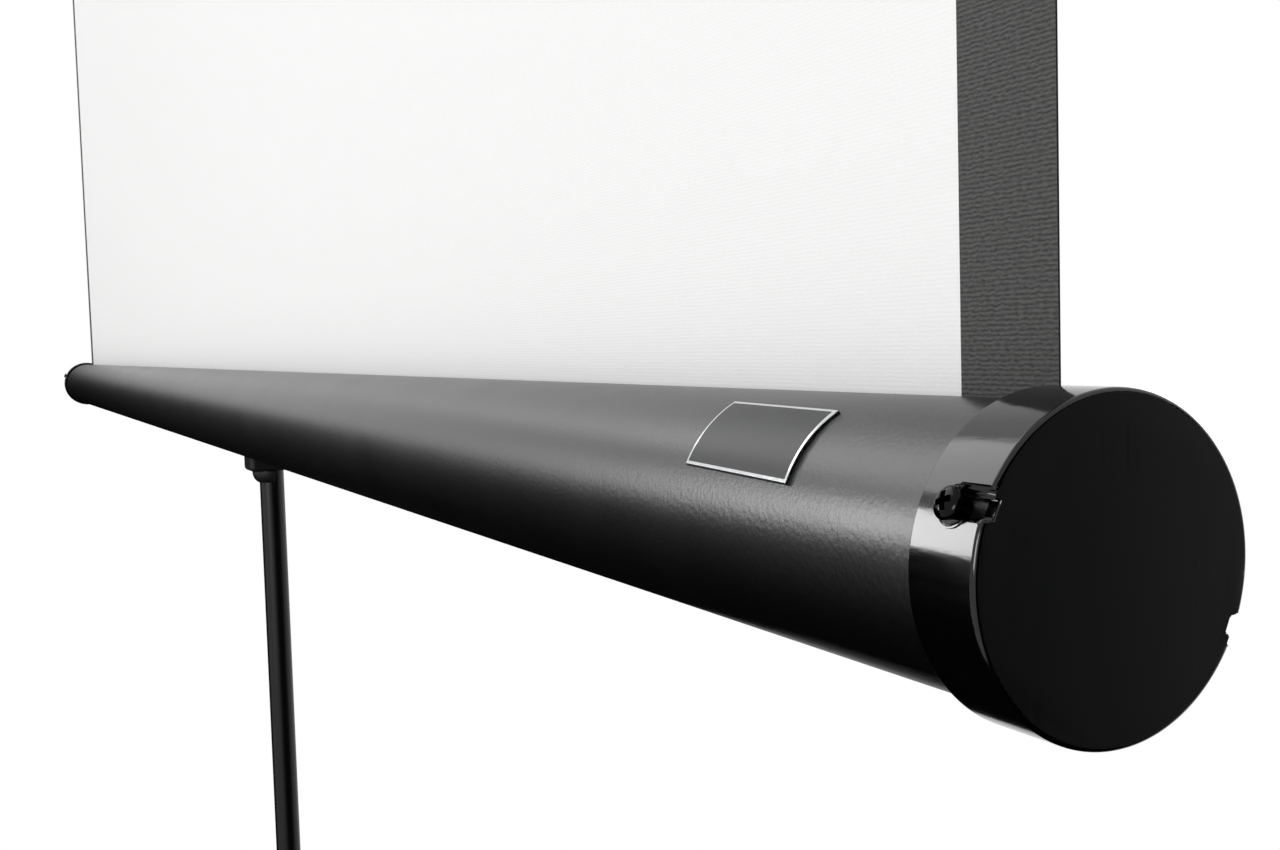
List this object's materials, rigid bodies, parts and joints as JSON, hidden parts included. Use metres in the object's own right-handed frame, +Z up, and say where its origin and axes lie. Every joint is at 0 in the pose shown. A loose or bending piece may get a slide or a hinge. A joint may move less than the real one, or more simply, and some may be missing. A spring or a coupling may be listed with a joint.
{
  "type": "tripod projection screen",
  "caption": "Pull-up projection screen: cased roller fabric with black borders on a sliding carriage, telescopic post and folding tripod.",
  "frame": {"origin": "floor under the post's axis, the middle of the tripod's stance", "axes": "+Z up along the post, +X along the case to the right as the viewer sees it, -Y towards the viewer"},
  "size_m": [2.24, 0.9306, 2.751],
  "materials": {
    "black_enamel": "satin powder coat, black",
    "case_enamel": "semi-gloss fine orange-peel enamel, black",
    "cap_plastic": "glossy moulded plastic, black",
    "moulded_black": "moulded glass-filled nylon, black",
    "zinc_steel": "zinc plated steel",
    "black_screw": "black oxide steel screw",
    "bright_tube": "plated steel tube",
    "black_anodised": "black anodised extrusion",
    "rubber": "black rubber",
    "screen_cloth": "matte white projection fabric with black borders",
    "spring_steel": "oiled spring steel"
  },
  "bodies": {
    "post": {"post_tube": "black_enamel", "post_plug": "moulded_black", "base_hub": "black_enamel", "hub_pins": "zinc_steel", "crown_stop": "black_enamel", "post_collar": "moulded_black", "lever_pin": "zinc_steel"},
    "clamp_lever": {"clamp_lever": "moulded_black"},
    "strut_rear": {"strut_rear": "black_enamel", "knee_pin_rear": "zinc_steel"},
    "leg_rear": {"leg_tube_rear": "black_enamel", "leg_lugs_rear": "black_enamel", "foot_rear": "rubber"},
    "strut_left": {"strut_left": "black_enamel", "knee_pin_left": "zinc_steel"},
    "leg_left": {"leg_tube_left": "black_enamel", "leg_lugs_left": "black_enamel", "foot_left": "rubber"},
    "strut_right": {"strut_right": "black_enamel", "knee_pin_right": "zinc_steel"},
    "leg_right": {"leg_tube_right": "black_enamel", "leg_lugs_right": "black_enamel", "foot_right": "rubber"},
    "crown": {"crown": "moulded_black", "crown_pins": "zinc_steel"},
    "crown_knob": {"crown_knob": "moulded_black"},
    "carriage": {"carriage": "moulded_black", "thrust_washer": "moulded_black", "swivel_bolt": "zinc_steel", "carry_handle": "moulded_black", "handle_screws": "zinc_steel"},
    "carriage_knob": {"carriage_knob": "moulded_black"},
    "case": {"case_tube": "case_enamel", "case_saddle": "black_enamel", "saddle_rivets": "zinc_steel", "end_cap_right": "cap_plastic", "end_cap_left": "cap_plastic", "cap_screws": "black_screw", "idle_bracket": "moulded_black", "spring_bracket": "moulded_black"},
    "roller": {"roller_tube": "zinc_steel", "fabric_roll": "screen_cloth", "idle_plug": "moulded_black", "spring_plug": "moulded_black", "torsion_spring": "spring_steel"},
    "screen": {"screen_fabric": "screen_cloth", "top_slat": "black_anodised", "slat_plugs": "moulded_black", "hanger_plate": "black_enamel", "hanger_screws": "zinc_steel", "hanger_hook": "zinc_steel"},
    "extension": {"extension_tube": "bright_tube", "guide_bush": "moulded_black", "extension_head": "moulded_black", "arm_pin": "zinc_steel"},
    "keystone_arm": {"keystone_arm": "moulded_black"}
  },
  "joints": [
    {"name": "strut_fold_rear", "type": "hinge", "parent": "post", "child": "strut_rear", "pos_m": [0, 0.03, 0.06], "axis": [1, 0, 0], "range_deg": [0, 60]},
    {"name": "leg_fold_rear", "type": "hinge", "parent": "strut_rear", "child": "leg_rear", "pos_m": [0, 0.24721, 0.17549], "axis": [1, 0, 0], "range_deg": [-120, 0]},
    {"name": "strut_fold_left", "type": "hinge", "parent": "post", "child": "strut_left", "pos_m": [-0.02598, -0.015, 0.06], "axis": [-0.5, 0.866, 0], "range_deg": [0, 60]},
    {"name": "leg_fold_left", "type": "hinge", "parent": "strut_left", "child": "leg_left", "pos_m": [-0.21409, -0.1236, 0.17549], "axis": [-0.5, 0.866, 0], "range_deg": [-120, 0]},
    {"name": "strut_fold_right", "type": "hinge", "parent": "post", "child": "strut_right", "pos_m": [0.02598, -0.015, 0.06], "axis": [-0.5, -0.866, 0], "range_deg": [0, 60]},
    {"name": "leg_fold_right", "type": "hinge", "parent": "strut_right", "child": "leg_right", "pos_m": [0.21409, -0.1236, 0.17549], "axis": [-0.5, -0.866, 0], "range_deg": [-120, 0]},
    {"name": "crown_lift", "type": "hinge", "parent": "leg_rear", "child": "crown", "pos_m": [0, 0.03, 0.29098], "axis": [1, 0, 0], "range_deg": [0, 60]},
    {"name": "crown_knob_turn", "type": "hinge", "parent": "crown", "child": "crown_knob", "pos_m": [0, 0, 0.29098], "axis": [0.866, 0.5, 0], "continuous": true},
    {"name": "clamp_lever_turn", "type": "hinge", "parent": "post", "child": "clamp_lever", "pos_m": [-0.021, 0, 1.479], "axis": [0, 1, 0], "range_deg": [0, 90]},
    {"name": "carriage_slide", "type": "slide", "parent": "post", "child": "carriage", "axis": [0, 0, 1], "range_m": [-0.24, 0]},
    {"name": "carriage_knob_turn", "type": "hinge", "parent": "carriage", "child": "carriage_knob", "pos_m": [0, 0, 1.394], "axis": [1, 0, 0], "continuous": true},
    {"name": "case_swivel", "type": "hinge", "parent": "carriage", "child": "case", "pos_m": [0, -0.0294, 1.44], "axis": [0, 1, 0], "range_deg": [0, 90]},
    {"name": "extension_slide", "type": "slide", "parent": "carriage", "child": "extension", "axis": [0, 0, 1], "range_m": [-0.96, 0]},
    {"name": "keystone_arm_fold", "type": "hinge", "parent": "extension", "child": "keystone_arm", "pos_m": [0, -0.0215, 2.739], "axis": [1, 0, 0], "range_deg": [0, 90]},
    {"name": "screen_draw", "type": "slide", "parent": "case", "child": "screen", "axis": [0, 0, 1], "range_m": [-0.96, 0], "deforming": ["screen_fabric"]},
    {"name": "roller_turn", "type": "hinge", "parent": "case", "child": "roller", "pos_m": [0, -0.07675, 1.44], "axis": [1, 0, 0], "range_deg": [-3668, 0]}
  ],
  "couplings": [
    {"joint": "leg_fold_rear", "follows": "strut_fold_rear", "ratio": -2},
    {"joint": "strut_fold_left", "follows": "strut_fold_rear", "ratio": 1},
    {"joint": "leg_fold_left", "follows": "strut_fold_rear", "ratio": -2},
    {"joint": "strut_fold_right", "follows": "strut_fold_rear", "ratio": 1},
    {"joint": "leg_fold_right", "follows": "strut_fold_rear", "ratio": -2},
    {"joint": "crown_lift", "follows": "strut_fold_rear", "ratio": 1},
    {"joint": "screen_draw", "follows": "extension_slide", "ratio": 1},
    {"joint": "roller_turn", "follows": "extension_slide", "rad_per_m": 66.667}
  ]
}
